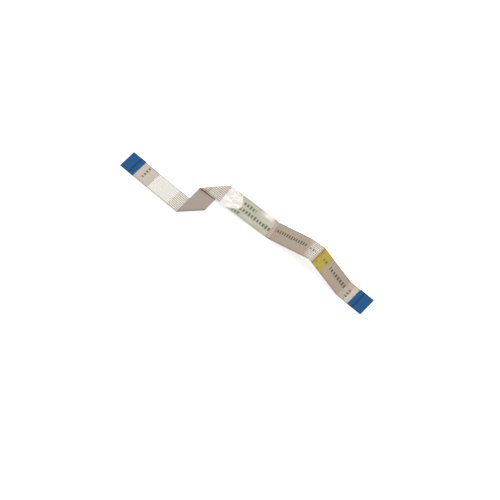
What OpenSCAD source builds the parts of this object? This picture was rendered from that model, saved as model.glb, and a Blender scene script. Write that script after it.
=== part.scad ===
// Flat flex cable that joins two board connectors.
// Flat copper conductors lie side by side between two plastic films. Each end carries a
// stiffener on its face side, with the conductors bare below it. The cable lies as it was
// folded: a Z fold near its left end, and a low arch before its right end.
// Millimetres and degrees, +Z up. The left end points along -X and lies flat on the table.

/* [Conductors] */
// Number of conductors
conductor_n = 10; // [6:1:12]
// Distance between the middles of neighbouring conductors
pitch = 0.5; // [0.45:0.01:0.6]
// Width of each conductor
conductor_w = 0.3; // [0.2:0.01:0.38]
// Thickness of each conductor
conductor_t = 0.05; // [0.03:0.005:0.08]

/* [Films] */
// Thickness of the smooth film on the back
back_film_t = 0.08; // [0.05:0.01:0.12]
// Thickness of the film on the face, which rises over each conductor
face_film_t = 0.08; // [0.05:0.01:0.12]
// Width of plain film between each edge and the nearest conductor
film_margin = 0.35; // [0.2:0.05:0.8]

/* [Ends] */
// Length of each stiffener
stiffener_l = 4.6; // [4:0.1:6]
// Thickness of each stiffener
stiffener_t = 0.25; // [0.15:0.01:0.3]
// Length of bare contacts at each end
contact_l = 3.3; // [2.5:0.1:3.7]
// Length of the step by which a stiffener climbs onto the films
step_l = 0.3; // [0.15:0.05:0.6]

/* [Tapes] */
// Distance from the second fold's long corner to the clear tape
clear_tape_start = 0.3; // [0.2:0.1:2]
// Distance from the clear tape to the crease where the arch rises
clear_tape_end = 0.3; // [0.2:0.1:2]
// Thickness of the clear tape
clear_tape_t = 0.06; // [0.03:0.01:0.1]
// How far the clear tape stands out past each edge of the films
clear_tape_side = 0.12; // [0:0.02:0.3]
// Length of the clear tape that is crumpled
crumple_l = 6.4; // [3:0.2:8]
// Height of its wrinkles
crumple_h = 0.16; // [0.05:0.01:0.2]
// Distance from the tape crease to the yellow tape
yellow_tape_start = 0.1; // [0:0.05:1]
// Length of the yellow tape
yellow_tape_l = 3.6; // [2:0.1:6]
// Thickness of the yellow tape
yellow_tape_t = 0.06; // [0.03:0.01:0.1]

/* [Z fold] */
// Length that lies flat at the left end
left_flat_l = 7.1; // [6.2:0.1:9]
// Angle by which the cable then lifts off the table
lift_angle = 1.2; // [0.5:0.1:2]
// Inner radius of the soft bend where it lifts
lift_radius = 4; // [1:0.5:8]
// Length from the lift to the first fold
left_run_l = 16.2; // [12:0.1:24]
// Slant of the first fold, from square across the cable
fold_1_slant = 44.4; // [38:0.1:48]
// Angle by which the first fold stays open
fold_1_opening = 1.5; // [0.5:0.1:2]
// Inner radius of the first fold
fold_1_radius = 0.12; // [0.1:0.01:0.3]
// Length between the two folds
cross_run_l = 8.1; // [7:0.1:11]
// Slant of the second fold
fold_2_slant = 46.3; // [40:0.1:50]
// Inner radius of the second fold
fold_2_radius = 0.28; // [0.26:0.01:0.4]
// Length between the second fold and the arch
lying_run_l = 19.3; // [17:0.1:26]

/* [Arch] */
// Angle by which the arch rises
rise_angle = 34.5; // [24:0.5:40]
// Slant of the crease where the arch rises
rise_slant = -4; // [-6:0.5:3]
// Inner radius of the creases where the arch leaves and meets the table
foot_radius = 1; // [0.4:0.1:2]
// Length that rises
rise_run_l = 14; // [9:0.1:18]
// Angle of the oblique crease near the top
oblique_angle = 20; // [14:0.5:26]
// Slant of the oblique crease
oblique_slant = -29.5; // [-36:0.5:-20]
// Length of the short edge between the oblique crease and the tape crease
top_edge_l = 0.7; // [0.4:0.1:3]
// Angle of the tape crease, where the cable turns down
tape_crease_angle = 52; // [44:0.5:64]
// Slant of the tape crease
tape_crease_slant = 2.5; // [-3:0.5:4]
// Inner radius of the two creases at the top
top_radius = 0.6; // [0.3:0.1:1]
// Length that lies flat at the right end
right_flat_l = 7.7; // [6.2:0.1:10]

/* [Hidden] */

// Wrinkles of the clear tape: degrees per millimetre, and rows and columns of facets
wrinkle_turn = 75;
wrinkle_rows = 16;
wrinkle_columns = 12;

// Number of facets round each crease
lift_facets = 1;
fold_facets = 7;
foot_facets = 3;
oblique_facets = 2;
tape_crease_facets = 3;

// The second fold's angle lies between these two, and is found by halving the range this often
fold_2_least = 170;
fold_2_most = 200;
fold_2_halvings = 30;

function conductor_name(i) = str("conductor_", i < 10 ? "0" : "", i);

// ---- The laminate's section: t runs across the cable, h up from the back face ----

half_w = ((conductor_n - 1) * pitch + conductor_w) / 2 + film_margin;
// Each side of a ridge slopes over a quarter of the gap between two conductors
slope_w = (pitch - conductor_w) / 4;
ridge_h = back_film_t + conductor_t + face_film_t;
// The layer that keeps its length in a bend is the middle of the conductors
neutral_h = back_film_t + conductor_t / 2;

function conductor_middle(i) = (i - (conductor_n + 1) / 2) * pitch;

// A plate from height low to height high, standing out past both edges by side
function plate_section(low, high, side = 0) =
    let (edge = half_w + side)
    [[-edge, low], [edge, low], [edge, high], [-edge, high]];

plate_cap = [[0, 1, 2, 3]];

function conductor_section(i) =
    let (left = conductor_middle(i) - conductor_w / 2, right = left + conductor_w,
         low = back_film_t, high = low + conductor_t)
    [[left, low], [right, low], [right, high], [left, high]];

// The face film wraps each conductor: its underside has a channel for it, its face a ridge
function face_film_section() =
    let (low = back_film_t, inside = low + conductor_t, valley = low + face_film_t,
         half = conductor_w / 2, foot = half + slope_w)
    concat(
        [[-half_w, low]],
        [for (i = [1:conductor_n]) let (mid = conductor_middle(i))
            each [[mid - half, low], [mid - half, inside], [mid + half, inside], [mid + half, low]]],
        [[half_w, low], [half_w, valley]],
        [for (i = [conductor_n:-1:1]) let (mid = conductor_middle(i))
            each [[mid + foot, valley], [mid + half, ridge_h],
                  [mid - half, ridge_h], [mid - foot, valley]]],
        [[-half_w, valley]]);

// Surface of that section: each conductor's ridge and its two flanks, and the webs between
function face_film_cap() =
    let (last = 8 * conductor_n + 3)
    [for (i = [1:conductor_n])
        let (under = 4 * i - 3, over = last - 4 * i)
        each [
            [under - 1, under, over + 3, over + 4],
            [over + 3, under, under + 1, over + 2],
            [under + 1, under + 2, over + 1, over + 2],
            [over, over + 1, under + 2, under + 3],
            if (i == conductor_n) [under + 3, under + 4, over - 1, over]]];

// ---- The cable's route, followed from the left tip ----
// A place is [point on the middle of the back face, forward, left, up].
// A crease is [slant, angle, inner radius, number of facets]. It turns the cable about a
// line that lies across it at the slant, up where the angle is negative and down where not.

function spin(v, axis, angle) =
    v * cos(angle) + cross(axis, v) * sin(angle) + axis * (axis * v) * (1 - cos(angle));

function ahead(at, run) = [at[0] + run * at[1], at[1], at[2], at[3]];

function crease_line(at, slant) = cos(slant) * at[2] + sin(slant) * at[1];

// Height of a crease's axis above the back face
function axis_h(crease) = crease[1] < 0 ? ridge_h + crease[2] : -crease[2];

function arc_l(crease, share = 1) =
    abs(axis_h(crease) - neutral_h) * abs(crease[1]) * share * PI / 180;

// A line across the cable, part way round a crease:
// [where the cable's middle meets it, its direction, up, its length for each unit of width]
function crease_ruling(at, crease, share) =
    let (line = crease_line(at, crease[0]),
         up = spin(at[3], line, crease[1] * share),
         slip = arc_l(crease, share) * tan(crease[0]))
    [at[0] + axis_h(crease) * (at[3] - up) + slip * line, line, up, 1 / cos(crease[0])];

function square_ruling(at) = [at[0], at[2], at[3], 1];

function after(at, crease) =
    let (line = crease_line(at, crease[0]))
    [crease_ruling(at, crease, 1)[0],
     spin(at[1], line, crease[1]), spin(at[2], line, crease[1]), spin(at[3], line, crease[1])];

function crease_rulings(at, crease) =
    [for (k = [0:crease[3]]) crease_ruling(at, crease, k / crease[3])];

// ---- Where each crease starts ----

left_tip = [[0, 0, 0], [1, 0, 0], [0, 1, 0], [0, 0, 1]];

lift = [0, -lift_angle, lift_radius, lift_facets];
at_lift = ahead(left_tip, left_flat_l);

fold_1 = [fold_1_slant, fold_1_opening - 180, fold_1_radius, fold_facets];
at_fold_1 = ahead(after(at_lift, lift), left_run_l);

// The second fold opens until the low corner of the next crease comes down to the table
at_fold_2 = ahead(after(at_fold_1, fold_1), cross_run_l);
function second_fold(angle) = [fold_2_slant, angle, fold_2_radius, fold_facets];
function corner_height(angle) =
    let (at = ahead(after(at_fold_2, second_fold(angle)), lying_run_l))
    (at[0] - half_w * (at[2] + tan(rise_slant) * at[1]))[2];
function landing_angle(low, high, tries) =
    let (middle = (low + high) / 2)
    tries == 0 ? middle
    : corner_height(middle) > 0 ? landing_angle(middle, high, tries - 1)
    : landing_angle(low, middle, tries - 1);
fold_2 = second_fold(landing_angle(fold_2_least, fold_2_most, fold_2_halvings));

rise = [rise_slant, -rise_angle, foot_radius, foot_facets];
at_lying = after(at_fold_2, fold_2);
at_rise = ahead(at_lying, lying_run_l);

oblique = [oblique_slant, oblique_angle, top_radius, oblique_facets];
at_oblique = ahead(after(at_rise, rise), rise_run_l);

tape_crease = [tape_crease_slant, tape_crease_angle, top_radius, tape_crease_facets];
top_run_l = top_edge_l + half_w * (tan(tape_crease_slant) - tan(oblique_slant));
at_tape_crease = ahead(after(at_oblique, oblique), top_run_l);

// The last crease lies level and turns the falling cable flat, just as it reaches the table
at_fall = after(at_tape_crease, tape_crease);
level_line = let (line = cross(at_fall[3], [0, 0, 1])) line / norm(line) * sign(line * at_fall[2]);
landing = [
    atan2(level_line * at_fall[1], level_line * at_fall[2]),
    atan2(level_line * cross(at_fall[3], [0, 0, 1]), at_fall[3][2]),
    foot_radius, foot_facets];
fall_run_l = (axis_h(landing) * (1 - at_fall[3][2]) - at_fall[0][2]) / at_fall[1][2];
at_landing = ahead(at_fall, fall_run_l);
at_right_flat = after(at_landing, landing);
right_tip = ahead(at_right_flat, right_flat_l);

// Rulings of all creases, in order from left to right
creased_rulings = concat(
    crease_rulings(at_lift, lift),
    crease_rulings(at_fold_1, fold_1),
    crease_rulings(at_fold_2, fold_2),
    crease_rulings(at_rise, rise),
    crease_rulings(at_oblique, oblique),
    crease_rulings(at_tape_crease, tape_crease),
    crease_rulings(at_landing, landing));

film_rulings = concat(
    [square_ruling(ahead(left_tip, contact_l))],
    creased_rulings,
    [square_ruling(ahead(right_tip, -contact_l))]);

conductor_rulings = concat([square_ruling(left_tip)], creased_rulings, [square_ruling(right_tip)]);

// ---- Solids swept along the route ----

function place(ruling, point) =
    ruling[0] + point[0] * ruling[3] * ruling[1] + point[1] * ruling[2];

function ring(ruling, section) = [for (point = section) place(ruling, point)];

// One section carried along a list of rulings
function carried(rulings, section) = [for (ruling = rulings) ring(ruling, section)];

// The part's origin is the middle of its base
edge_rings = concat(
    carried(film_rulings, plate_section(0, ridge_h)),
    carried(conductor_rulings, plate_section(back_film_t, ridge_h)));
edge_points = [for (r = edge_rings) each r];
function middle_of(axis) =
    (min([for (p = edge_points) p[axis]]) + max([for (p = edge_points) p[axis]])) / 2;
base_h = min([for (p = edge_points) p[2]]);
origin = [middle_of(0), middle_of(1), base_h];

// An order for the two ends of a section's edge that does not depend on which layer it is in
function comes_first(p, q) = p[0] != q[0] ? p[0] < q[0] : p[1] != q[1] ? p[1] < q[1] : p[2] < q[2];

// A closed skin over rings of equally many points, counter-clockwise as seen from the right.
// Each side is split along the diagonal from its first point, so that layers meet face to face.
// The cap is one ring's surface as convex faces, each a fan from its first point.
module skin(rings, cap) {
    count = len(rings[0]);
    last = len(rings) - 1;
    sides = [for (i = [0:last - 1], j = [0:count - 1])
        let (next = (j + 1) % count,
             a = i * count + j, b = i * count + next, c = b + count, d = a + count)
        each comes_first(rings[i][j], rings[i][next]) ? [[a, c, b], [a, d, c]] : [[a, d, b], [b, d, c]]];
    right_cap = [for (face = cap)
        [for (k = [len(face):-1:1]) last * count + face[k % len(face)]]];
    translate(-origin)
        polyhedron(points = [for (r = rings) each r], faces = concat(sides, cap, right_cap));
}

// ---- Pieces ----

module back_film() {
    color([0.66, 0.60, 0.53]) skin(carried(film_rulings, plate_section(0, back_film_t)), plate_cap);
}

module face_film() {
    color([0.80, 0.77, 0.71]) skin(carried(film_rulings, face_film_section()), face_film_cap());
}

module conductor(i) {
    color([0.78, 0.74, 0.68]) skin(carried(conductor_rulings, conductor_section(i)), plate_cap);
}

// A stiffener lies on the bare conductors at the tip, then climbs over the films' end and
// lies on the face film's ridges. Inward is 1 from the left tip and -1 from the right tip.
module stiffener(tip, inward) {
    on_conductors = back_film_t + conductor_t;
    stops = [[0, on_conductors], [contact_l - step_l, on_conductors],
             [contact_l, ridge_h], [stiffener_l, ridge_h]];
    in_order = inward > 0 ? [0:3] : [3:-1:0];
    rings = [for (k = in_order)
        ring(square_ruling(ahead(tip, inward * stops[k][0])),
             plate_section(stops[k][1], stops[k][1] + stiffener_t))];
    color([0.15, 0.40, 0.60]) skin(rings, plate_cap);
}

module left_stiffener() {
    stiffener(left_tip, 1);
}

module right_stiffener() {
    stiffener(right_tip, -1);
}

// Height of the clear tape's wrinkles, which die out at its edges and past the crumpled stretch
function wrinkle_h(along, across, edge) =
    along > crumple_l ? 0
    : crumple_h * sin(180 * along / crumple_l) * cos(90 * across / edge)
        * (1 - 0.5 * abs(sin(wrinkle_turn * (along + 0.6 * across)))
             - 0.5 * abs(sin(wrinkle_turn * (across - 0.5 * along))));

// The clear tape bridges the ridges, and is crumpled next to the fold
module clear_tape() {
    edge = half_w + clear_tape_side;
    start = half_w * tan(fold_2_slant) + clear_tape_start;
    tape_l = lying_run_l - half_w * abs(tan(rise_slant)) - clear_tape_end - start;
    stops = concat([for (k = [0:wrinkle_rows]) k * crumple_l / wrinkle_rows], [tape_l]);
    rings = [for (along = stops)
        ring(square_ruling(ahead(at_lying, start + along)), concat(
            [[-edge, ridge_h], [edge, ridge_h]],
            [for (k = [wrinkle_columns:-1:0])
                let (across = edge * (2 * k / wrinkle_columns - 1))
                [across, ridge_h + clear_tape_t + wrinkle_h(along, across, edge)]]))];
    color([0.80, 0.80, 0.74]) skin(rings, [[for (j = [0:wrinkle_columns + 2]) j]]);
}

// The yellow tape starts where the cable turns down
module yellow_tape() {
    start = half_w * abs(tan(tape_crease_slant)) + yellow_tape_start;
    rings = [for (along = [start, start + yellow_tape_l])
        ring(square_ruling(ahead(at_fall, along)), plate_section(ridge_h, ridge_h + yellow_tape_t))];
    color([0.69, 0.62, 0.25]) skin(rings, plate_cap);
}

back_film();
face_film();
left_stiffener();
right_stiffener();
clear_tape();
yellow_tape();
for (i = [1:conductor_n]) {
    conductor(i);
}
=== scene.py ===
"""Flat flex cable: its films, tapes, stiffeners and conductors, with the stage that shows them.

The films and the tapes are swept along the cable's creased route once more, with the sizes of the
packed solids and finer, so that their finishes can follow the cable. Each swept piece carries a
map, LAY_MAP, that gives every point's place on the cable as it was cut: millimetres from the left
tip, and millimetres across from the middle. Stiffeners and conductors are the packed solids.
"""

import math
from collections import namedtuple

import bmesh
import bpy
from bpy.props import FloatProperty, FloatVectorProperty, IntProperty, PointerProperty
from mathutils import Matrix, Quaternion, Vector, noise


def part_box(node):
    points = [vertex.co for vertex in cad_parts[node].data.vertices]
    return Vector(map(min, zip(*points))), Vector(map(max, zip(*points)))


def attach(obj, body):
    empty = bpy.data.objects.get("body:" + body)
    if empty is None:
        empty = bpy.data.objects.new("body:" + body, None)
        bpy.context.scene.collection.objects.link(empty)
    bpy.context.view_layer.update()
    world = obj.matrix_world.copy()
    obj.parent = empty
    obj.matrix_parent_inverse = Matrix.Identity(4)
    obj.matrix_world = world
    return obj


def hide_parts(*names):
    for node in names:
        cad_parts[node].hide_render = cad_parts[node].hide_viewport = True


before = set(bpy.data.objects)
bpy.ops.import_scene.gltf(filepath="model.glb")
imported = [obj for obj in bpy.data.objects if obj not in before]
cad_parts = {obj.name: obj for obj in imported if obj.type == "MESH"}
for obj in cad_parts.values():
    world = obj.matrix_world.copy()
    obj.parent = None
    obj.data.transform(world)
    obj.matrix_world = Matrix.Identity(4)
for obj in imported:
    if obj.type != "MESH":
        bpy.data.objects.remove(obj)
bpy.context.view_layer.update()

bl_info = {
    "name": "Flat flex cable",
    "version": (1, 0, 0),
    "blender": (4, 5, 0),
    "location": "View3D > Sidebar > Flex Cable",
    "description": "Finishes a folded flat flex cable and sets it on a pale stage",
    "category": "Object",
}

MM = 0.001
UP = Vector((0, 0, 1))
LAY_MAP = "lay"


def linear(hex_colour):
    """The linear colour of an sRGB hex value."""
    shares = [int(hex_colour[i:i + 2], 16) / 255 for i in (0, 2, 4)]
    return [s / 12.92 if s <= 0.04045 else ((s + 0.055) / 1.055) ** 2.4 for s in shares]


def length(name, mm, description):
    return FloatProperty(
        name=name, description=description, default=mm * MM, subtype="DISTANCE", unit="LENGTH", precision=5)


def angle(name, degrees, description):
    return FloatProperty(
        name=name, description=description, default=math.radians(degrees), subtype="ANGLE", unit="ROTATION")


def colour(name, hex_colour, description):
    return FloatVectorProperty(
        name=name, description=description, default=linear(hex_colour), size=3, subtype="COLOR",
        min=0, max=1)


# ---- Sizes and colours ----

class FilmSizes(bpy.types.PropertyGroup):
    """The laminate's section: flat conductors between two films."""

    conductors: IntProperty(name="Conductors", description="Number of conductors", default=10, min=6, max=12)
    pitch: length("Pitch", 0.5, "Distance between the middles of neighbouring conductors")
    conductor_w: length("Conductor width", 0.3, "Width of each conductor")
    conductor_t: length("Conductor thickness", 0.05, "Thickness of each conductor")
    back_t: length("Back film", 0.08, "Thickness of the smooth film on the back")
    face_t: length("Face film", 0.08, "Thickness of the ridged film on the face")
    margin: length("Margin", 0.35, "Width of plain film beside the outer conductors")
    contact_l: length("Bare contacts", 3.3, "Length of bare conductor at each end")
    step_l: length("Stiffener step", 0.3, "Length of the step by which a stiffener climbs onto the films")
    ripple: length("Ripple", 0.02, "Height of the soft waves that handling left in the flat stretches")
    ring_step: length("Ring step", 0.5, "Distance between the rings of mesh in the flat stretches")

    @property
    def half_w(self):
        return ((self.conductors - 1) * self.pitch + self.conductor_w) / 2 + self.margin

    @property
    def slope_w(self):
        """Width of each side of a ridge."""
        return (self.pitch - self.conductor_w) / 4

    @property
    def ridge_h(self):
        return self.back_t + self.conductor_t + self.face_t

    @property
    def neutral_h(self):
        """Height of the layer that keeps its length in a bend."""
        return self.back_t + self.conductor_t / 2


class RouteSizes(bpy.types.PropertyGroup):
    """The flat stretches of the cable and the creases between them."""

    left_flat_l: length("Left flat", 7.1, "Length that lies flat at the left end")
    lift_angle: angle("Lift", 1.2, "Angle by which the cable then lifts off the table")
    lift_radius: length("Lift radius", 4, "Inner radius of the soft bend where it lifts")
    left_run_l: length("Left run", 16.2, "Length from the lift to the first fold")
    fold_1_slant: angle("First fold slant", 44.4, "Slant of the first fold, from square across the cable")
    fold_1_opening: angle("First fold opening", 1.5, "Angle by which the first fold stays open")
    fold_1_radius: length("First fold radius", 0.12, "Inner radius of the first fold")
    cross_run_l: length("Cross run", 8.1, "Length between the two folds")
    fold_2_slant: angle("Second fold slant", 46.3, "Slant of the second fold")
    fold_2_radius: length("Second fold radius", 0.28, "Inner radius of the second fold")
    lying_run_l: length("Lying run", 19.3, "Length between the second fold and the arch")
    rise_angle: angle("Rise", 34.5, "Angle by which the arch rises")
    rise_slant: angle("Rise slant", -4, "Slant of the crease where the arch rises")
    foot_radius: length("Foot radius", 1, "Inner radius of the creases at the arch's feet")
    rise_run_l: length("Rising run", 14, "Length that rises")
    oblique_angle: angle("Oblique crease", 20, "Angle of the oblique crease near the top")
    oblique_slant: angle("Oblique slant", -29.5, "Slant of the oblique crease")
    top_edge_l: length("Top edge", 0.7, "Short edge between the oblique crease and the tape crease")
    tape_crease_angle: angle("Tape crease", 52, "Angle of the crease where the cable turns down")
    tape_crease_slant: angle("Tape crease slant", 2.5, "Slant of the tape crease")
    top_radius: length("Top radius", 0.6, "Inner radius of the two creases at the top")
    right_flat_l: length("Right flat", 7.7, "Length that lies flat at the right end")


class TapeSizes(bpy.types.PropertyGroup):
    """The two tapes on the face of the cable."""

    clear_start: length("Clear tape start", 0.3, "From the second fold's long corner to the clear tape")
    clear_end: length("Clear tape end", 0.3, "From the clear tape to the crease where the arch rises")
    clear_t: length("Clear tape thickness", 0.06, "Thickness of the clear tape")
    clear_side: length("Clear tape overhang", 0.12, "How far the clear tape stands out past each edge")
    crumple_l: length("Crumpled length", 6.4, "Length of the clear tape that is crumpled")
    crumple_h: length("Crumple height", 0.16, "Height of its wrinkles")
    yellow_start: length("Yellow tape start", 0.1, "Distance from the tape crease to the yellow tape")
    yellow_l: length("Yellow tape length", 3.6, "Length of the yellow tape")
    yellow_t: length("Yellow tape thickness", 0.06, "Thickness of the yellow tape")


class Finishes(bpy.types.PropertyGroup):
    """The colours of the cable's pieces."""

    face: colour("Face film", "B3A593", "Polyester over tinned conductors, seen on the ridged face")
    face_warm: colour("Face film, warm", "B9A38F", "Pinkish patches of the face film")
    # The groove colour is the grooves' own, and in the glare stretches it also paints their shade
    face_groove_and_shade: colour("Face film webs", "8E7D68", "Film and adhesive in the grooves between the conductors")
    # The pale ridge colour paints glare on the ridges
    face_glare: colour("Face film, pale", "E3E0D7", "Ridges of the face film where it was pressed hardest")
    back: colour("Back film", "958678", "Taupe film on the back")
    clear: colour("Clear tape", "BAB7A3", "Film seen through the clear tape")
    # The lifted tape's pale colour is partly the air under it and partly painted glare
    air: colour("Clear tape, lifted", "E8E6DD", "Clear tape that has air under it")
    yellow: colour("Yellow tape", "B9A73E", "Yellow tape")
    amber: colour("Yellow tape, amber", "A0682A", "Adhesive that has gathered under the yellow tape")
    stiffener: colour("Stiffener", "184F80", "Blue polyester")
    # The darker blue paints the shade along the step where the stiffener climbs onto the films
    stiffener_step_shade: colour("Stiffener, deep", "0D3B62", "Darker blue where the sheet was cut and bent")
    tin: colour("Tin", "D2CFC9", "Tin plating")
    ink: colour("Ink", "4A493F", "Dark ink of the plain strokes")


class StageSizes(bpy.types.PropertyGroup):
    """The camera and the lights."""

    azimuth: angle("Azimuth", 42.7, "Direction that the camera looks in, from +Y towards -X")
    elevation: angle("Elevation", 64.5, "Height of the camera above the horizon")
    distance: length("Distance", 622, "Distance from the camera to what it looks at")
    aim_x: length("Aim x", 4.5, "Where the camera looks, along X")
    aim_y: length("Aim y", -3, "Where the camera looks, along Y")
    lens: FloatProperty(name="Lens", description="Focal length in mm", default=167.5, min=20)
    floor_w: length("Floor", 3000, "Width of the floor")
    floor: colour("Floor", "F4F4F2", "Pale matt floor")


PROPERTY_GROUPS = {
    "flex_films": FilmSizes,
    "flex_route": RouteSizes,
    "flex_tapes": TapeSizes,
    "flex_finishes": Finishes,
    "flex_stage": StageSizes,
}


# ---- The route: flat stretches joined by creases ----

# Number of facets round each crease
LIFT_FACETS = 2
FOLD_FACETS = 14
FOOT_FACETS = 6
OBLIQUE_FACETS = 4
TAPE_CREASE_FACETS = 6
# The second fold's angle lies between these two, and is found by halving the range this often
SECOND_FOLD_LEAST = math.radians(170)
SECOND_FOLD_MOST = math.radians(200)
SECOND_FOLD_HALVINGS = 30
# The route may miss the packed back film by this much
ROUTE_TOLERANCE = 0.05 * MM

# A place on the cable's middle line, on its back face, with its distance from the left tip
Place = namedtuple("Place", "point forward left up along")
# A crease turns the cable about a line at a slant across it: up where its angle is negative
Crease = namedtuple("Crease", "slant angle radius facets")
# A straight line across the cable. Side is its run for each unit of width, and skew its gain
# along the cable
Ruling = namedtuple("Ruling", "point side up along skew")


def ahead(place, run):
    return place._replace(point=place.point + run * place.forward, along=place.along + run)


def crease_line(place, crease):
    return math.cos(crease.slant) * place.left + math.sin(crease.slant) * place.forward


def axis_height(films, crease):
    """Height of a crease's axis above the back face."""
    return films.ridge_h + crease.radius if crease.angle < 0 else -crease.radius


def crease_ruling(films, place, crease, share):
    """The line across the cable that lies a share of the way round a crease."""
    line = crease_line(place, crease)
    up = Quaternion(line, crease.angle * share) @ place.up
    height = axis_height(films, crease)
    arc = abs(height - films.neutral_h) * abs(crease.angle) * share
    point = place.point + height * (place.up - up) + arc * math.tan(crease.slant) * line
    return Ruling(point, line / math.cos(crease.slant), up,
                  place.along + arc / math.cos(crease.slant), math.tan(crease.slant))


def square_ruling(place):
    return Ruling(place.point, place.left, place.up, place.along, 0)


def after(films, place, crease):
    end = crease_ruling(films, place, crease, 1)
    turn = Quaternion(crease_line(place, crease), crease.angle)
    return Place(end.point, turn @ place.forward, turn @ place.left, turn @ place.up, end.along)


def second_fold(films, route, at_fold):
    """The second fold opens until the low corner of the next crease comes down to the table."""
    def fold(turn):
        return Crease(route.fold_2_slant, turn, route.fold_2_radius, FOLD_FACETS)

    def corner_height(turn):
        at = ahead(after(films, at_fold, fold(turn)), route.lying_run_l)
        return (at.point - films.half_w * (at.left + math.tan(route.rise_slant) * at.forward)).z

    low, high = SECOND_FOLD_LEAST, SECOND_FOLD_MOST
    for _ in range(SECOND_FOLD_HALVINGS):
        middle = (low + high) / 2
        if corner_height(middle) > 0:
            low = middle
        else:
            high = middle
    return fold((low + high) / 2)


def landing_crease(films, route, at_fall):
    """The level crease that turns the falling cable flat, and the run that reaches it."""
    across = at_fall.up.cross(UP)
    line = across.normalized() * math.copysign(1, across.dot(at_fall.left))
    crease = Crease(math.atan2(line.dot(at_fall.forward), line.dot(at_fall.left)),
                    math.atan2(line.dot(across), at_fall.up.z), route.foot_radius, FOOT_FACETS)
    run = (axis_height(films, crease) * (1 - at_fall.up.z) - at_fall.point.z) / at_fall.forward.z
    return crease, run


def follow(films, route):
    """All rulings of the creases, in order, and the places that pieces start from."""
    places = {"left_tip": Place(Vector(), Vector((1, 0, 0)), Vector((0, 1, 0)), UP.copy(), 0)}
    rulings = []

    def fold(at, crease):
        for k in range(crease.facets + 1):
            rulings.append(crease_ruling(films, at, crease, k / crease.facets))
        return after(films, at, crease)

    lift = Crease(0, -route.lift_angle, route.lift_radius, LIFT_FACETS)
    at = fold(ahead(places["left_tip"], route.left_flat_l), lift)
    first = Crease(route.fold_1_slant, route.fold_1_opening - math.pi, route.fold_1_radius, FOLD_FACETS)
    at = fold(ahead(at, route.left_run_l), first)
    at = ahead(at, route.cross_run_l)
    at = places["lying"] = fold(at, second_fold(films, route, at))
    rise = Crease(route.rise_slant, -route.rise_angle, route.foot_radius, FOOT_FACETS)
    at = fold(ahead(at, route.lying_run_l), rise)
    oblique = Crease(route.oblique_slant, route.oblique_angle, route.top_radius, OBLIQUE_FACETS)
    at = fold(ahead(at, route.rise_run_l), oblique)
    slants = math.tan(route.tape_crease_slant) - math.tan(route.oblique_slant)
    down = Crease(route.tape_crease_slant, route.tape_crease_angle, route.top_radius, TAPE_CREASE_FACETS)
    at = places["fall"] = fold(ahead(at, route.top_edge_l + films.half_w * slants), down)
    landing, fall_run = landing_crease(films, route, at)
    at = fold(ahead(at, fall_run), landing)
    places["right_tip"] = ahead(at, route.right_flat_l)
    return rulings, places


def between(a, b, share):
    """The ruling a share of the way from a to b, on the same flat stretch or crease."""
    mixed = [p + (q - p) * share for p, q in zip(a, b)]
    return Ruling(*mixed)._replace(up=mixed[2].normalized())


def refined(rulings, step):
    """The rulings, with more laid between those that are further apart than a step."""
    fine = [rulings[0]]
    for a, b in zip(rulings, rulings[1:]):
        parts = max(1, round((b.along - a.along) / step))
        fine.extend(between(a, b, k / parts) for k in range(1, parts + 1))
    return fine


def fitted_route():
    """The route as it lies in the packed model, checked against the packed back film."""
    films = bpy.context.scene.flex_films
    rulings, places = follow(films, bpy.context.scene.flex_route)
    ends = [square_ruling(ahead(places["left_tip"], films.contact_l)),
            square_ruling(ahead(places["right_tip"], -films.contact_l))]
    rulings = [ends[0]] + rulings + [ends[1]]
    corners = [r.point + t * r.side + h * r.up
               for r in rulings for t in (-films.half_w, films.half_w) for h in (0, films.back_t)]
    low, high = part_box("back_film")
    shift = low - Vector(min(c[i] for c in corners) for i in range(3))
    miss = high - shift - Vector(max(c[i] for c in corners) for i in range(3))
    if miss.length > ROUTE_TOLERANCE:
        raise RuntimeError(f"the route and the packed back film differ by {miss.length / MM:.3f} mm")
    rulings = [r._replace(point=r.point + shift) for r in rulings]
    places = {name: place._replace(point=place.point + shift) for name, place in places.items()}
    return films, rulings, places


# ---- Meshes swept along the route ----

# Waves of the ripple: radians for each millimetre along and across, phase and weight
RIPPLE_WAVES = ((0.9, 0.35, 0, 1), (0.43, -0.6, 1.3, 0.7), (1.7, 0.8, 0.4, 0.5))
# The ripple dies out over this length towards creases and ends
CALM_REACH = 2 * MM
# Edges sharper than this stay sharp
SHARP_EDGE = math.radians(35)
# Each side of a ridge climbs from its foot to its shoulder, in shares of the packed slope's width
# from the conductor's edge, through these shares of the climb
RIDGE_FOOT = 1.4
RIDGE_SHOULDER = -0.2
RIDGE_CLIMB = (0, 0.3, 0.7, 1)
# Facets across the clear tape, and the distance between the rings of both tapes
TAPE_COLUMNS = 60
TAPE_RING_STEP = 0.1 * MM
# Wrinkles of the clear tape: folds for each millimetre along and across, how steep they are, and
# the slower warp that bends them
WRINKLES_ALONG = 0.4
WRINKLES_ACROSS = 0.55
WRINKLE_STEEPNESS = 2.2
WARP_PACE = 0.5
WARP_REACH = 0.6
# Without a seed the warp would be drawn from the clock, and would differ from run to run
WARP_SEED = 5

def ripple(films, along, across):
    """How far handling has raised the laminate off its flat stretches, in metres."""
    x, y = along / MM, across / MM
    wave = sum(weight * math.sin(a * x + b * y + phase) for a, b, phase, weight in RIPPLE_WAVES)
    most = sum(weight for *_, weight in RIPPLE_WAVES)
    return films.ripple * (wave / most + 1) / 2


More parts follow.
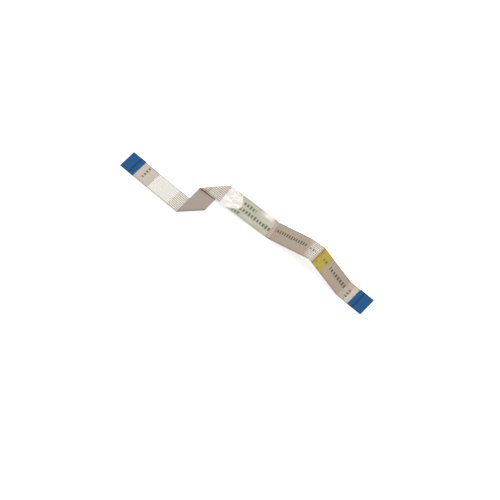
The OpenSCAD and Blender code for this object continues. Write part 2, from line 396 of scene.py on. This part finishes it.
def swept(name, rulings, section, lift=None, calm=lambda along: 1):
    """A closed mesh through one section at each ruling.

    Section is a list of (across, height). Lift(along, across) is added to the height of the points
    of the section that are marked True in a third value. Calm scales the laminate's ripple.
    """
    films = bpy.context.scene.flex_films
    points, lay = [], []
    for r in rulings:
        for across, height, *loose in section:
            along = r.along + across * r.skew
            height += calm(along) * ripple(films, along, across)
            if loose and lift:
                height += lift(along, across)
            points.append(r.point + across * r.side + height * r.up)
            lay.append((along / MM, across / MM))
    count = len(section)
    faces = [(i + j, i + (j + 1) % count, i + count + (j + 1) % count, i + count + j)
             for i in range(0, len(points) - count, count) for j in range(count)]
    faces += [tuple(range(count)), tuple(range(len(points) - count, len(points)))]
    mesh = bpy.data.meshes.new(name)
    mesh.from_pydata(points, [], faces)
    layer = mesh.uv_layers.new(name=LAY_MAP)
    for loop in mesh.loops:
        layer.uv[loop.index].vector = lay[loop.vertex_index]
    work = bmesh.new()
    work.from_mesh(mesh)
    bmesh.ops.recalc_face_normals(work, faces=work.faces)
    work.to_mesh(mesh)
    work.free()
    mesh.shade_smooth()
    mesh.set_sharp_from_angle(angle=SHARP_EDGE)
    piece = bpy.data.objects.new(name, mesh)
    bpy.context.scene.collection.objects.link(piece)
    return piece


def finished(piece, node, material):
    """A swept piece takes its node's place, its slot and its material."""
    piece.data.materials.append(material)
    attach(piece, "root")
    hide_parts(node)


def plate(low, high, half_w):
    return [(-half_w, low), (half_w, low), (half_w, high), (-half_w, high)]


def ridged(films):
    """Section of the face film, with soft shoulders on its ridges."""
    low, inside = films.back_t, films.back_t + films.conductor_t
    valley, half = low + films.face_t, films.conductor_w / 2
    middles = [(i - (films.conductors - 1) / 2) * films.pitch for i in range(films.conductors)]
    under = [(-films.half_w, low)]
    for mid in middles:
        under += [(mid - half, low), (mid - half, inside), (mid + half, inside), (mid + half, low)]
    over = [(-films.half_w, valley)]
    for mid in middles:
        climb = [(mid - half - films.slope_w * (RIDGE_FOOT + (RIDGE_SHOULDER - RIDGE_FOOT) * s),
                  valley + films.conductor_t * s * s * (3 - 2 * s)) for s in RIDGE_CLIMB]
        over += climb + [(2 * mid - across, height) for across, height in reversed(climb)]
    return under + [(films.half_w, low), (films.half_w, valley)] + over[:0:-1] + over[:1]


# ---- Materials ----

# A row of plain ink strokes: its middle on the cable in mm, its length and height, and whether it
# runs across the cable
InkRow = namedtuple("InkRow", "along across length height turned")
FILM_INK = (
    InkRow(6.8, 0.6, 3.6, 0.9, True),
    InkRow(60.9, 0.4, 12.6, 1.1, False),
    InkRow(69.6, 0.2, 2.2, 0.8, False),
    InkRow(80.3, 0.4, 7.0, 1.1, False),
    InkRow(85.5, -0.7, 3.0, 0.9, True),
)
TAPED_INK = (
    InkRow(44.9, 1.2, 4.2, 1.1, False),
    InkRow(47.6, -0.6, 11.4, 1.2, False),
    InkRow(42.0, -2.0, 3.4, 1.0, False),
)
YELLOW_INK = (
    InkRow(74.6, 0.5, 1.8, 1.0, False),
)
STROKE_PITCH = 0.95
# A stretch of the face film where painted glare lies on the ridges, in mm from the left tip: how
# pale the painted glare makes its ridges, and how dark its grooves show, deepened by painted shade
GlareStretch = namedtuple("GlareStretch", "start end pale groove")
GLARE_STRETCHES = (
    GlareStretch(10.0, 17.4, 0.95, 0.10),
    GlareStretch(17.4, 27.0, 0.60, 0.75),
    GlareStretch(31.0, 33.4, 0.10, 0.80),
    GlareStretch(33.4, 38.0, 0.60, 0.95),
    GlareStretch(68.4, 71.8, 0.55, 0.80),
)
# The face film's ends stay matt, paled by painted haze: as far as the first place, and from the second
MATT_HAZED_ENDS = (10.2, 86.4)
# The clear tape's crumpled end reaches this far, and a bubble lies along its edge
CRUMPLED_TO = 43.4
BUBBLE = (47.2, 52.6)
# Amber adhesive lines the yellow tape's first edge as far as here
AMBER_TO = 72.3
# How dark the grooves show outside the glare stretches, in their own colour
GROOVE_DEPTH = 0.15
# How far the borders of stretches wander, in mm, and half the width over which they blend
RAGGED = 1.2
BLEND = 0.3



def node(material, kind, inputs=None, **settings):
    """Adds a node with its settings, and with its inputs set to values or linked from sockets."""
    tree = material.node_tree
    made = tree.nodes.new("ShaderNode" + kind)
    for setting, value in settings.items():
        setattr(made, setting, value)
    for key, value in (inputs or {}).items():
        if isinstance(value, bpy.types.NodeSocket):
            tree.links.new(value, made.inputs[key])
        else:
            made.inputs[key].default_value = value
    return made.outputs[0]


def blank(name):
    material = bpy.data.materials.new(name)
    material.use_nodes = True
    return material


def surface(material, inputs):
    """Sets the material's shader: values stay on its own sockets, and patterns are linked."""
    shader = material.node_tree.nodes["Principled BSDF"]
    for key, value in inputs.items():
        if isinstance(value, bpy.types.NodeSocket):
            material.node_tree.links.new(value, shader.inputs[key])
        else:
            shader.inputs[key].default_value = value


def opaque(rgb):
    return (*rgb, 1)


def sums(material, operation, *values):
    return node(material, "Math", dict(enumerate(values)), operation=operation)


def ramp(material, value, low, high, start=0, end=1):
    """Value mapped smoothly from low..high to start..end."""
    return node(material, "MapRange", {0: value, 1: low, 2: high, 3: start, 4: end},
                interpolation_type="SMOOTHSTEP")


def mixed(material, share, first, second):
    made = node(material, "Mix", {0: share, 6: first, 7: second}, data_type="RGBA")
    return made.node.outputs[2]


def lay(material):
    """Places on the cable as it was cut, in millimetres: both as a vector, along it and across it."""
    vector = node(material, "UVMap", uv_map=LAY_MAP)
    parts = node(material, "SeparateXYZ", {0: vector}).node.outputs
    return vector, parts[0], parts[1]


def mottle(material, vector, size_mm, detail=2, stretch=1):
    """Soft patches of about a size, drawn out along the cable by a factor."""
    scaled = node(material, "Mapping", {0: vector, "Scale": (1 / stretch, 1, 1)})
    return node(material, "TexNoise", {"Vector": scaled, "Scale": 1 / size_mm, "Detail": detail})


def grooves(material, films, across):
    """One in the middle of each groove between two conductors, nought on the ridges and the margins."""
    shift = (films.conductors % 2) * 0.5
    turns = sums(material, "MULTIPLY_ADD", across, MM / films.pitch, shift)
    wave = sums(material, "COSINE", sums(material, "MULTIPLY", turns, 2 * math.pi))
    edge = films.conductors * films.pitch / 2 / MM
    inside = ramp(material, sums(material, "ABSOLUTE", across), edge + 0.02, edge + 0.1, 1, 0)
    return sums(material, "MULTIPLY", ramp(material, wave, 0.1, 0.9), inside)


def rim(material, films, across):
    """One along the outer edge of each outermost conductor."""
    from_middle = sums(material, "ABSOLUTE", across)
    outer = (films.half_w - films.margin) / MM
    return sums(material, "MULTIPLY", ramp(material, from_middle, outer - 0.04, outer + 0.04),
                ramp(material, from_middle, outer + 0.12, outer + 0.22, 1, 0))


def inked(material, finishes, film, along, across, rows, cover):
    """The film's colour with rows of plain upright strokes, each of its own height."""
    total = None
    for number, row in enumerate(rows):
        run, rise = (across, along) if row.turned else (along, across)
        run_middle, rise_middle = (row.across, row.along) if row.turned else (row.along, row.across)
        from_middle = sums(material, "SUBTRACT", run, run_middle)
        steps = sums(material, "MULTIPLY", from_middle, 1 / STROKE_PITCH)
        seed = sums(material, "ADD", sums(material, "FLOOR", steps), number * 50)
        own = node(material, "TexWhiteNoise", {"W": seed}, noise_dimensions="1D")
        reach = sums(material, "MULTIPLY_ADD", own, 0.2 * row.height, 0.34 * row.height)
        off_row = sums(material, "ABSOLUTE", sums(material, "SUBTRACT", rise, rise_middle))
        high = sums(material, "LESS_THAN", off_row, reach)
        stroke = sums(material, "LESS_THAN", sums(material, "FRACT", steps), 0.58)
        inside = sums(material, "LESS_THAN", sums(material, "ABSOLUTE", from_middle), row.length / 2)
        mark = sums(material, "MULTIPLY", sums(material, "MULTIPLY", high, stroke), inside)
        total = mark if total is None else sums(material, "MAXIMUM", total, mark)
    return mixed(material, sums(material, "MULTIPLY", total, cover), film, opaque(finishes.ink))


def polyester_over_foil(finishes, films):
    """Polyester film, pressed over tinned copper by a heated roller: satin, with the metal's warm
    grey showing through, and darker in the grooves where only film and adhesive lie. In some
    stretches painted glare pales the ridges and painted shade darkens the grooves, and a painted
    haze pales the matt ends."""
    material = blank("polyester_film_roll_laminated")
    vector, along, across = lay(material)
    patches = ramp(material, mottle(material, vector, 2.5, 3, 2), 0.42, 0.62)
    film = mixed(material, patches, opaque(finishes.face), opaque(finishes.face_warm))
    groove = grooves(material, films, across)
    ragged = sums(material, "MULTIPLY_ADD", mottle(material, vector, 0.8, 3), RAGGED, along)
    left_end = ramp(material, ragged, MATT_HAZED_ENDS[0] - 0.2, MATT_HAZED_ENDS[0] + 0.2, 1, 0)
    right_end = ramp(material, ragged, MATT_HAZED_ENDS[1] - 0.2, MATT_HAZED_ENDS[1] + 0.2)
    matt = sums(material, "MAXIMUM", left_end, right_end)
    # A painted haze of glare pales the matt ends
    film = mixed(material, sums(material, "MULTIPLY", matt, 0.35), film, opaque(finishes.face_glare))
    pale, groove_dark_and_shade = 0, GROOVE_DEPTH
    # Each glare stretch paints glare on its ridges and shade in its grooves
    for stretch in GLARE_STRETCHES:
        start, end = stretch.start + RAGGED / 2, stretch.end + RAGGED / 2
        inside = sums(material, "MULTIPLY", ramp(material, ragged, start - BLEND, start + BLEND),
                      ramp(material, ragged, end - BLEND, end + BLEND, 1, 0))
        pale = sums(material, "MULTIPLY_ADD", inside, stretch.pale, pale)
        groove_dark_and_shade = sums(material, "MULTIPLY_ADD", inside, stretch.groove - GROOVE_DEPTH, groove_dark_and_shade)
    film = mixed(material, pale, film, opaque(finishes.face_glare))
    film = mixed(material, sums(material, "MULTIPLY", groove, groove_dark_and_shade), film, opaque(finishes.face_groove_and_shade))
    film = mixed(material, sums(material, "MULTIPLY", rim(material, films, across), 0.5), film,
                 opaque(finishes.ink))
    film = inked(material, finishes, film, along, across, FILM_INK, 0.85)
    haze = mottle(material, vector, 0.6, 4, 3)
    grain = node(material, "Bump", {"Strength": 0.03, "Distance": 0.02 * MM, "Height": haze})
    satin = ramp(material, haze, 0.3, 0.7, 0.2, 0.26)
    softened = sums(material, "MULTIPLY", sums(material, "MULTIPLY", pale, pale), 0.22)
    rough = sums(material, "ADD", softened, sums(material, "MULTIPLY_ADD", matt, 0.4, satin))
    surface(material, {"Base Color": film, "Roughness": rough, "Normal": grain, "IOR": 1.6})
    return material


def polyester_back(finishes):
    """Polyester film, pigmented and roll laminated: an even satin taupe."""
    material = blank("polyester_film_pigmented")
    vector, along, across = lay(material)
    patches = mottle(material, vector, 1.8, 3, 2)
    deep = [channel * 0.9 for channel in finishes.back]
    film = mixed(material, ramp(material, patches, 0.35, 0.65), opaque(deep), opaque(finishes.back))
    grain = node(material, "Bump", {"Strength": 0.1, "Distance": 0.02 * MM,
                                    "Height": mottle(material, vector, 0.4, 3, 2)})
    surface(material, {"Base Color": film, "Roughness": ramp(material, patches, 0.3, 0.7, 0.42, 0.5),
                       "Normal": grain, "IOR": 1.6})
    return material


def clear_tape_finish(finishes, films):
    """Polypropylene tape, cast and coated with acrylic adhesive: glossy, with an olive cast."""
    material = blank("polypropylene_tape_cast")
    vector, along, across = lay(material)
    patches = ramp(material, mottle(material, vector, 2.2, 3, 2), 0.4, 0.62)
    pale = [min(1, channel * 1.12) for channel in finishes.clear]
    film = mixed(material, patches, opaque(finishes.clear), opaque(pale))
    film = mixed(material, sums(material, "MULTIPLY", grooves(material, films, across), 0.12), film,
                 opaque(finishes.face_groove_and_shade))
    film = mixed(material, sums(material, "MULTIPLY", rim(material, films, across), 0.4), film,
                 opaque(finishes.ink))
    film = inked(material, finishes, film, along, across, TAPED_INK, 0.85)
    bowed = sums(material, "MULTIPLY_ADD", sums(material, "MULTIPLY", across, across), 0.4, along)
    ragged = sums(material, "MULTIPLY_ADD", mottle(material, vector, 0.9, 3), 1.4, bowed)
    # Lifted tape turns pale: partly the air under it, partly painted glare, at the crumple and the bubble
    lifted = ramp(material, ragged, CRUMPLED_TO, CRUMPLED_TO + 0.6, 1, 0)
    bubble = sums(material, "MULTIPLY", ramp(material, along, BUBBLE[0], BUBBLE[0] + 3),
                  ramp(material, along, BUBBLE[1] - 1, BUBBLE[1], 1, 0))
    bubble = sums(material, "MULTIPLY", ramp(material, across, 1.0, 2.2), bubble)
    lifted = sums(material, "MAXIMUM", lifted, bubble)
    film = mixed(material, lifted, film, opaque(finishes.air))
    creased = mottle(material, vector, 2.4, 2, 1.6)
    folds = sums(material, "ABSOLUTE", sums(material, "SUBTRACT", creased, 0.5))
    crumpled = node(material, "Bump", {"Strength": sums(material, "MULTIPLY", lifted, 0.7),
                                       "Distance": 0.9 * MM, "Height": folds})
    surface(material, {"Base Color": film, "Roughness": 0.22, "IOR": 1.49, "Normal": crumpled,
                       "Coat Weight": 0.5, "Coat Roughness": 0.08})
    return material


def yellow_tape_finish(finishes):
    """Polyester tape, dyed yellow: thin and glossy, with amber adhesive gathered in patches."""
    material = blank("polyester_tape_dyed")
    vector, along, across = lay(material)
    ragged = sums(material, "MULTIPLY_ADD", mottle(material, vector, 0.5, 2), 0.8, along)
    first_edge = ramp(material, ragged, AMBER_TO + 0.2, AMBER_TO + 0.5, 1, 0)
    patches = ramp(material, mottle(material, vector, 1.1, 3), 0.52, 0.66)
    amber = sums(material, "MAXIMUM", patches, first_edge)
    share = sums(material, "MULTIPLY", amber, 0.7)
    film = mixed(material, share, opaque(finishes.yellow), opaque(finishes.amber))
    film = inked(material, finishes, film, along, across, YELLOW_INK, 0.7)
    bubbles = node(material, "Bump", {"Strength": 0.3, "Distance": 0.03 * MM,
                                      "Height": mottle(material, vector, 0.8, 2)})
    surface(material, {"Base Color": film, "Roughness": 0.28, "Normal": bubbles, "IOR": 1.6})
    return material


def stiffener_finish(finishes, name, tip_x, step_from, step_to):
    """Polyester sheet, dyed blue, extruded and slit: smooth, with painted shade along the step
    where it climbs over the films' end."""
    material = blank("polyester_sheet_dyed_" + name)
    spot = node(material, "TexCoord").node.outputs["Object"]
    x = node(material, "SeparateXYZ", {0: spot})
    from_tip = sums(material, "ABSOLUTE", sums(material, "SUBTRACT", x, tip_x))
    # Painted shade along the step where the stiffener climbs onto the films
    bend = sums(material, "MULTIPLY", ramp(material, from_tip, step_from - 0.3 * MM, step_from),
                ramp(material, from_tip, step_to - 0.1 * MM, step_to + 0.15 * MM, 1, 0))
    clouds = node(material, "TexNoise", {"Vector": spot, "Scale": 1 / (1.2 * MM), "Detail": 3})
    pale = [min(1, channel * 1.15) for channel in finishes.stiffener]
    sheet = mixed(material, ramp(material, clouds, 0.3, 0.7), opaque(finishes.stiffener), opaque(pale))
    sheet = mixed(material, bend, sheet, opaque(finishes.stiffener_step_shade))
    scuffs = node(material, "TexNoise", {"Vector": spot, "Scale": 1 / (0.2 * MM), "Detail": 4})
    grain = node(material, "Bump", {"Strength": 0.1, "Distance": 0.02 * MM, "Height": scuffs})
    surface(material, {"Base Color": sheet, "Roughness": ramp(material, scuffs, 0.3, 0.7, 0.6, 0.75),
                       "Normal": grain, "IOR": 1.6, "Specular IOR Level": 0.15})
    return material


def tinned_copper(finishes):
    """Copper foil, rolled flat and electroplated with tin: bright, with fine lines along it."""
    material = blank("copper_tin_electroplated")
    spot = node(material, "TexCoord").node.outputs["Object"]
    drawn = node(material, "Mapping", {0: spot, "Scale": (0.1, 1, 1)})
    lines = node(material, "TexNoise", {"Vector": drawn, "Scale": 1 / (0.05 * MM), "Detail": 3})
    worn = [channel * 0.8 for channel in finishes.tin]
    tin = mixed(material, ramp(material, lines, 0.35, 0.65), opaque(worn), opaque(finishes.tin))
    rough = ramp(material, lines, 0.3, 0.7, 0.22, 0.38)
    surface(material, {"Base Color": tin, "Metallic": 1.0, "Roughness": rough})
    return material


def matt_floor(finishes, stage):
    """Painted board: matt and pale, white to the camera, and it keeps the shadow."""
    material = blank("painted_board_matt")
    seen = node(material, "LightPath").node.outputs
    rays = sums(material, "MAXIMUM", seen["Is Camera Ray"], seen["Is Glossy Ray"])
    rays = sums(material, "MAXIMUM", rays, seen["Is Transmission Ray"])
    surface(material, {"Base Color": opaque(stage.floor), "Roughness": 0.9,
                       "Emission Color": (1, 1, 1, 1),
                       "Emission Strength": sums(material, "MULTIPLY", rays, FLOOR_GLOW)})
    return material


# ---- Operators: one for each group of pieces, and the stage ----

class FLEX_OT_films(bpy.types.Operator):
    """Lays the two films along the route, in place of the packed ones"""

    bl_idname = "flex.films"
    bl_label = "Films"

    def execute(self, context):
        films, rulings, _ = fitted_route()
        finishes = context.scene.flex_finishes
        rings = refined(rulings, films.ring_step)
        face = swept("face_film_ridged", rings, ridged(films), calm=self.calm(rulings))
        finished(face, "face_film", polyester_over_foil(finishes, films))
        back = swept("back_film_smooth", rings, plate(0, films.back_t, films.half_w), calm=self.calm(rulings))
        finished(back, "back_film", polyester_back(finishes))
        return {"FINISHED"}

    @staticmethod
    def calm(rulings):
        """The ripple dies out towards creases and ends."""
        marks = [r.along for r in rulings]

        def share(along):
            near = min(abs(along - mark) for mark in marks) / CALM_REACH
            return min(1, near) ** 2
        return share


class FLEX_OT_tapes(bpy.types.Operator):
    """Lays the clear tape and the yellow tape on the face film, in place of the packed ones"""

    bl_idname = "flex.tapes"
    bl_label = "Tapes"

    def execute(self, context):
        films, _, places = fitted_route()
        tapes = context.scene.flex_tapes
        route = context.scene.flex_route
        finishes = context.scene.flex_finishes
        self.clear(films, tapes, route, places["lying"], finishes)
        self.yellow(films, tapes, route, places["fall"], finishes)
        return {"FINISHED"}

    def clear(self, films, tapes, route, at, finishes):
        edge = films.half_w + tapes.clear_side
        start = films.half_w * math.tan(route.fold_2_slant) + tapes.clear_start
        run = route.lying_run_l - films.half_w * abs(math.tan(route.rise_slant)) - tapes.clear_end - start
        first = square_ruling(ahead(at, start))
        last = square_ruling(ahead(at, start + run))
        top = films.ridge_h + tapes.clear_t
        section = [(-edge, films.ridge_h), (edge, films.ridge_h)]
        section += [(edge * (1 - 2 * k / TAPE_COLUMNS), top, True) for k in range(TAPE_COLUMNS + 1)]

        noise.seed_set(WARP_SEED)

        def wrinkle(along, across):
            x, y = (along - first.along) / MM, across / MM
            crumpled = tapes.crumple_l / MM
            hold = math.cos(0.5 * math.pi * across / edge) ** 0.5
            if x > crumpled:
                return 0
            swell = math.sin(math.pi * x / crumpled)
            warp = noise.noise_vector(Vector((x * WARP_PACE, y * WARP_PACE, 3.7))) * WARP_REACH
            spot = Vector((x * WRINKLES_ALONG, y * WRINKLES_ACROSS, 0.2))
            folds = 1 - abs(noise.noise(spot + warp)) * WRINKLE_STEEPNESS
            return tapes.crumple_h * hold * swell * max(0, folds)

        rings = refined([first, last], TAPE_RING_STEP)
        tape = swept("clear_tape_crumpled", rings, section, lift=wrinkle, calm=lambda along: 0)
        finished(tape, "clear_tape", clear_tape_finish(finishes, films))

    def yellow(self, films, tapes, route, at, finishes):
        start = films.half_w * abs(math.tan(route.tape_crease_slant)) + tapes.yellow_start
        ends = [square_ruling(ahead(at, start)), square_ruling(ahead(at, start + tapes.yellow_l))]
        section = plate(films.ridge_h, films.ridge_h + tapes.yellow_t, films.half_w)
        tape = swept("yellow_tape_patchy", refined(ends, TAPE_RING_STEP), section, calm=lambda along: 0)
        finished(tape, "yellow_tape", yellow_tape_finish(finishes))


class FLEX_OT_stiffeners(bpy.types.Operator):
    """Finishes the two blue stiffeners"""

    bl_idname = "flex.stiffeners"
    bl_label = "Stiffeners"

    def execute(self, context):
        films = context.scene.flex_films
        for name, end in (("left_stiffener", 0), ("right_stiffener", 1)):
            material = stiffener_finish(context.scene.flex_finishes, name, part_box(name)[end].x,
                                        films.contact_l - films.step_l, films.contact_l)
            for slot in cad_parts[name].material_slots:
                slot.material = material
        return {"FINISHED"}


class FLEX_OT_conductors(bpy.types.Operator):
    """Finishes the tinned conductors, which show under both ends"""

    bl_idname = "flex.conductors"
    bl_label = "Conductors"

    def execute(self, context):
        material = tinned_copper(context.scene.flex_finishes)
        for name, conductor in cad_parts.items():
            if name.startswith("conductor_"):
                for slot in conductor.material_slots:
                    slot.material = material
        return {"FINISHED"}


# A soft light: its direction, its size in metres and how bright it looks
Lamp = namedtuple("Lamp", "name azimuth elevation width height brightness")
LAMPS = (
    Lamp("window", math.radians(-128), math.radians(56), 0.26, 0.44, 9),
    Lamp("softbox", math.radians(95), math.radians(62), 0.5, 0.5, 4.5),
)
LAMP_DISTANCE = 0.9
SKY_STRENGTH = 0.42
FLOOR_GLOW = 0.58
# The floor lies this far below the cable's base
FLOOR_DROP = 0.01 * MM


class FLEX_OT_stage(bpy.types.Operator):
    """Adds the floor, the lights and the camera"""

    bl_idname = "flex.stage"
    bl_label = "Stage"

    def execute(self, context):
        stage = context.scene.flex_stage
        self.floor(context, stage)
        self.lights(context)
        self.camera(context, stage)
        context.scene.view_settings.view_transform = "Standard"
        return {"FINISHED"}

    def floor(self, context, stage):
        half = stage.floor_w / 2
        mesh = bpy.data.meshes.new("floor")
        corners = [(-half, -half, 0), (half, -half, 0), (half, half, 0), (-half, half, 0)]
        mesh.from_pydata(corners, [], [(0, 1, 2, 3)])
        floor = bpy.data.objects.new("floor", mesh)
        floor.location.z = -FLOOR_DROP
        mesh.materials.append(matt_floor(context.scene.flex_finishes, stage))
        context.scene.collection.objects.link(floor)

    @staticmethod
    def away(azimuth, elevation):
        """The direction from the cable towards a light or the camera."""
        flat = math.cos(elevation)
        return Vector((math.sin(azimuth) * flat, -math.cos(azimuth) * flat, math.sin(elevation)))

    def light(self, context, lamp):
        """A soft light of an even brightness that faces the middle of the cable."""
        data = bpy.data.lights.new(lamp.name, "AREA")
        data.shape = "RECTANGLE"
        data.size, data.size_y = lamp.width, lamp.height
        data.energy = math.pi * lamp.width * lamp.height * lamp.brightness
        holder = bpy.data.objects.new(lamp.name, data)
        away = self.away(lamp.azimuth, lamp.elevation)
        holder.location = away * LAMP_DISTANCE
        holder.rotation_euler = away.to_track_quat("Z", "Y").to_euler()
        context.scene.collection.objects.link(holder)

    def lights(self, context):
        for lamp in LAMPS:
            self.light(context, lamp)
        world = bpy.data.worlds.new("studio")
        world.use_nodes = True
        sky = world.node_tree.nodes["Background"]
        sky.inputs["Color"].default_value = (1, 1, 1, 1)
        sky.inputs["Strength"].default_value = SKY_STRENGTH
        context.scene.world = world

    def camera(self, context, stage):
        data = bpy.data.cameras.new("camera")
        data.lens = stage.lens
        data.clip_start = 0.01
        camera = bpy.data.objects.new("camera", data)
        away = self.away(stage.azimuth, stage.elevation)
        camera.location = Vector((stage.aim_x, stage.aim_y, 0)) + away * stage.distance
        camera.rotation_euler = away.to_track_quat("Z", "Y").to_euler()
        context.scene.collection.objects.link(camera)
        context.scene.camera = camera


class FLEX_PT_panel(bpy.types.Panel):
    """Sizes and steps of the flat flex cable"""

    bl_idname = "FLEX_PT_panel"
    bl_label = "Flat Flex Cable"
    bl_space_type = "VIEW_3D"
    bl_region_type = "UI"
    bl_category = "Flex Cable"

    def draw(self, context):
        for operator in OPERATORS:
            self.layout.operator(operator.bl_idname)
        for name, group in PROPERTY_GROUPS.items():
            box = self.layout.box()
            box.label(text=group.__doc__)
            for key in group.__annotations__:
                box.prop(getattr(context.scene, name), key)


OPERATORS = (FLEX_OT_films, FLEX_OT_tapes, FLEX_OT_stiffeners, FLEX_OT_conductors, FLEX_OT_stage)


def register():
    for group in PROPERTY_GROUPS.values():
        bpy.utils.register_class(group)
    for name, group in PROPERTY_GROUPS.items():
        setattr(bpy.types.Scene, name, PointerProperty(type=group))
    for operator in OPERATORS:
        bpy.utils.register_class(operator)
    bpy.utils.register_class(FLEX_PT_panel)


def unregister():
    bpy.utils.unregister_class(FLEX_PT_panel)
    for operator in reversed(OPERATORS):
        bpy.utils.unregister_class(operator)
    for name in PROPERTY_GROUPS:
        delattr(bpy.types.Scene, name)
    for group in PROPERTY_GROUPS.values():
        bpy.utils.unregister_class(group)


def main():
    register()
    bpy.ops.flex.films()
    bpy.ops.flex.tapes()
    bpy.ops.flex.stiffeners()
    bpy.ops.flex.conductors()
    bpy.ops.flex.stage()


if __name__ == "__main__":
    main()
